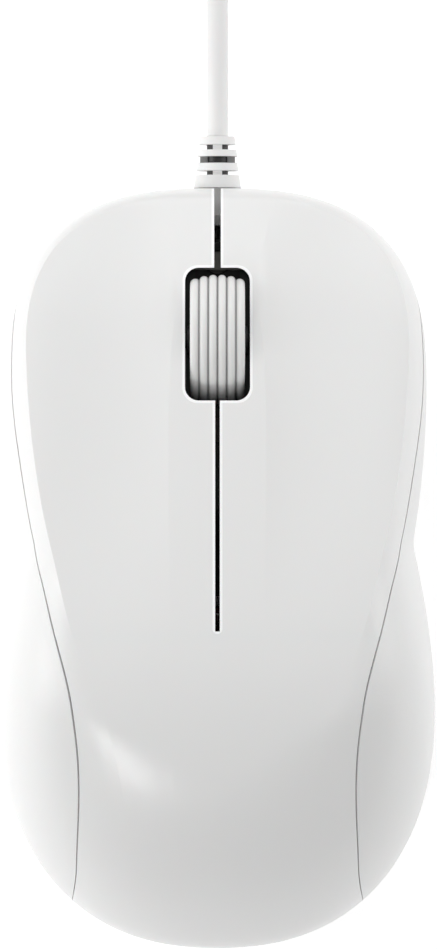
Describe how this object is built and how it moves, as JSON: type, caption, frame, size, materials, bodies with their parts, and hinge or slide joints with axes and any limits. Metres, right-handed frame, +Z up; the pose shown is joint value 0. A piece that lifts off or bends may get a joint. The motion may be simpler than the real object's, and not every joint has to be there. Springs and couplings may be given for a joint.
{
  "type": "computer mouse",
  "caption": "Corded optical computer mouse: waisted shell with side grips, hinged click keys split by a slot, ribbed scroll wheel, ribbed strain relief, and a coiled lead with its plug.",
  "frame": {"origin": "centre of the mouse body's footprint on the desk, cord left out", "axes": "+X to the right, +Y towards the nose and the cord, +Z up"},
  "size_m": [0.0745, 0.228, 0.0362],
  "materials": {
    "white_shell": "satin",
    "grip_shell": "satin",
    "base_shell": "fine texture",
    "wheel_rubber": "matte",
    "grey_plastic": "matte",
    "black_plastic": "matte",
    "cream_plastic": "matte",
    "steel": "bright",
    "nickel": "bright",
    "gold": "bright",
    "board_green": "solder mask",
    "clear_plastic": "clear",
    "red_lens": "clear tint",
    "glide": "slick",
    "label": "blank",
    "cord_jacket": "matte",
    "can": "sleeve"
  },
  "bodies": {
    "case": {"bottom_case": "base_shell", "palm_cover": "white_shell", "left_side_panel": "grip_shell", "right_side_panel": "grip_shell", "circuit_board": "board_green", "left_switch_case": "black_plastic", "right_switch_case": "black_plastic", "middle_switch_case": "black_plastic", "switch_pins": "nickel", "encoder_emitter": "clear_plastic", "encoder_receiver": "black_plastic", "encoder_legs": "nickel", "optical_sensor": "black_plastic", "sensor_legs": "nickel", "sensor_lens": "clear_plastic", "sensor_led": "red_lens", "led_clip": "black_plastic", "filter_capacitor": "can", "controller_chip": "black_plastic", "chip_legs": "nickel", "chip_resistors": "black_plastic", "cord_header": "cream_plastic", "cord_plug": "cream_plastic", "cover_screws": "steel", "board_screws": "steel", "front_glide": "glide", "rear_glide": "glide", "label_plate": "label", "strain_relief": "cord_jacket", "cord_lead": "cord_jacket", "cord_coil": "cord_jacket", "plug_lead": "cord_jacket", "coil_tie": "black_plastic", "usb_grip": "cord_jacket", "usb_shell": "nickel", "usb_tongue": "cream_plastic", "usb_contacts": "gold", "lead_wires": "grey_plastic"},
    "left_button": {"left_key": "white_shell"},
    "right_button": {"right_key": "white_shell"},
    "left_plunger": {"left_switch_plunger": "cream_plastic"},
    "right_plunger": {"right_switch_plunger": "cream_plastic"},
    "middle_plunger": {"middle_switch_plunger": "cream_plastic"},
    "cradle": {"wheel_cradle": "cream_plastic", "detent_spring": "steel"},
    "wheel": {"scroll_wheel_tyre": "wheel_rubber", "scroll_wheel_hub": "grey_plastic", "wheel_axle": "steel"}
  },
  "joints": [
    {"name": "left_click", "type": "hinge", "parent": "case", "child": "left_button", "pos_m": [-0.014, -0.009, 0.0348], "axis": [-1, 0, 0], "range_deg": [0, 0.67], "stiffness_Nm_per_rad": 1, "springref_deg": -0.57},
    {"name": "right_click", "type": "hinge", "parent": "case", "child": "right_button", "pos_m": [0.014, -0.009, 0.0348], "axis": [-1, 0, 0], "range_deg": [0, 0.67], "stiffness_Nm_per_rad": 1, "springref_deg": -0.57},
    {"name": "left_switch_press", "type": "slide", "parent": "case", "child": "left_plunger", "axis": [0, 0, -1], "range_m": [0, 0.00055]},
    {"name": "right_switch_press", "type": "slide", "parent": "case", "child": "right_plunger", "axis": [0, 0, -1], "range_m": [0, 0.00055]},
    {"name": "wheel_press", "type": "hinge", "parent": "case", "child": "cradle", "pos_m": [0, 0.0195, 0.0132], "axis": [-1, 0, 0], "range_deg": [0, 1.3], "stiffness_Nm_per_rad": 0.5, "springref_deg": -0.57},
    {"name": "middle_switch_press", "type": "slide", "parent": "case", "child": "middle_plunger", "axis": [0, 0, -1], "range_m": [0, 0.00055]},
    {"name": "wheel_spin", "type": "hinge", "parent": "cradle", "child": "wheel", "pos_m": [0, 0.03155, 0.017], "axis": [1, 0, 0], "continuous": true}
  ],
  "couplings": [
    {"joint": "left_switch_press", "follows": "left_click", "m_per_rad": 0.045},
    {"joint": "right_switch_press", "follows": "right_click", "m_per_rad": 0.045},
    {"joint": "middle_switch_press", "follows": "wheel_press", "m_per_rad": 0.0231}
  ]
}
